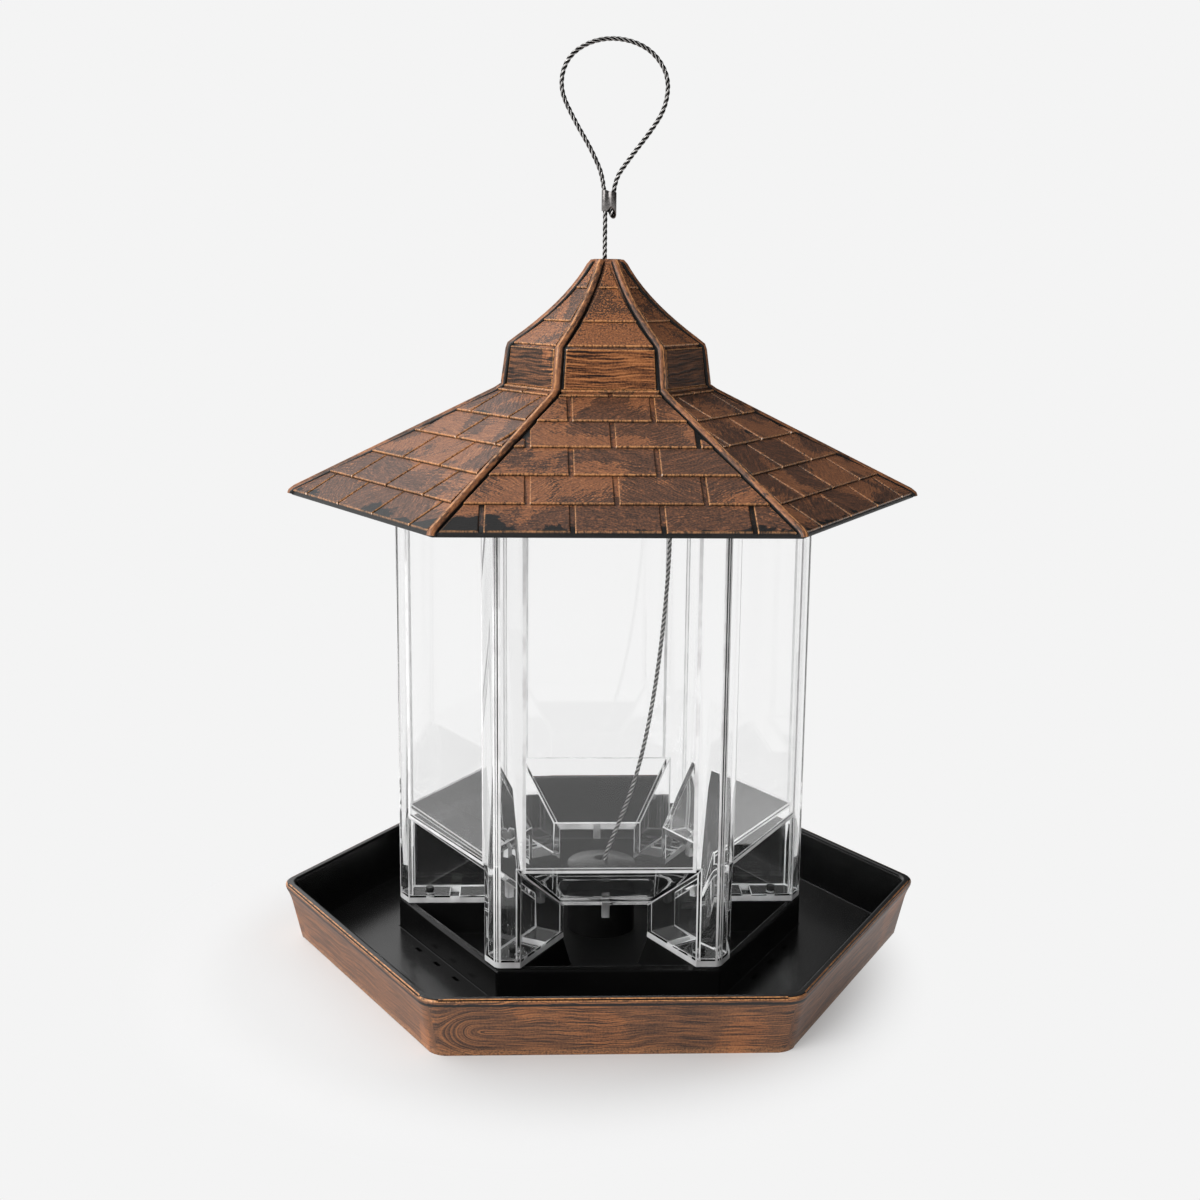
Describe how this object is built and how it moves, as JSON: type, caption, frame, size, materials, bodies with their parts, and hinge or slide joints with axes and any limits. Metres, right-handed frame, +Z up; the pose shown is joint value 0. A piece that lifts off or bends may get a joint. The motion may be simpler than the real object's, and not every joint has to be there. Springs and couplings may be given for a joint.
{
  "type": "hanging gazebo bird feeder",
  "caption": "Hexagonal gazebo bird feeder hung on a wire rope loop: the shingled roof slides up the rope so that the clear hopper can be filled, and its ports open into a rimmed seed tray.",
  "frame": {"origin": "middle of the tray's underside, where the feeder stands", "axes": "+Z up along the rope, -Y out of the face that the picture shows, corners of the hexagon on X"},
  "size_m": [0.211, 0.1846, 0.29],
  "materials": {
    "roof_copper": "moulded black plastic, dry-brushed with copper brown paint",
    "hopper_clear": "clear moulded styrene, polished",
    "tray_black": "black moulded plastic, glossy inside, copper brown wood grain outside",
    "rope_steel": "twisted stainless wire rope",
    "crimp_aluminium": "crimped, dull",
    "washer_steel": "zinc plated"
  },
  "bodies": {
    "base": {"seed_tray": "tray_black", "hopper": "hopper_clear", "cable_inner": "rope_steel", "cable_stop": "crimp_aluminium", "stop_washer": "washer_steel"},
    "roof": {"roof_shell": "roof_copper"},
    "hanger": {"cable_loop": "rope_steel", "loop_ferrule": "crimp_aluminium"}
  },
  "joints": [
    {"name": "roof_lift", "type": "slide", "parent": "base", "child": "roof", "axis": [0, 0, 1], "range_m": [0, 0.022]},
    {"name": "hanger_pull", "type": "slide", "parent": "base", "child": "hanger", "axis": [0, 0, 1], "range_m": [0, 0.006], "deforming": ["cable_inner"]}
  ]
}
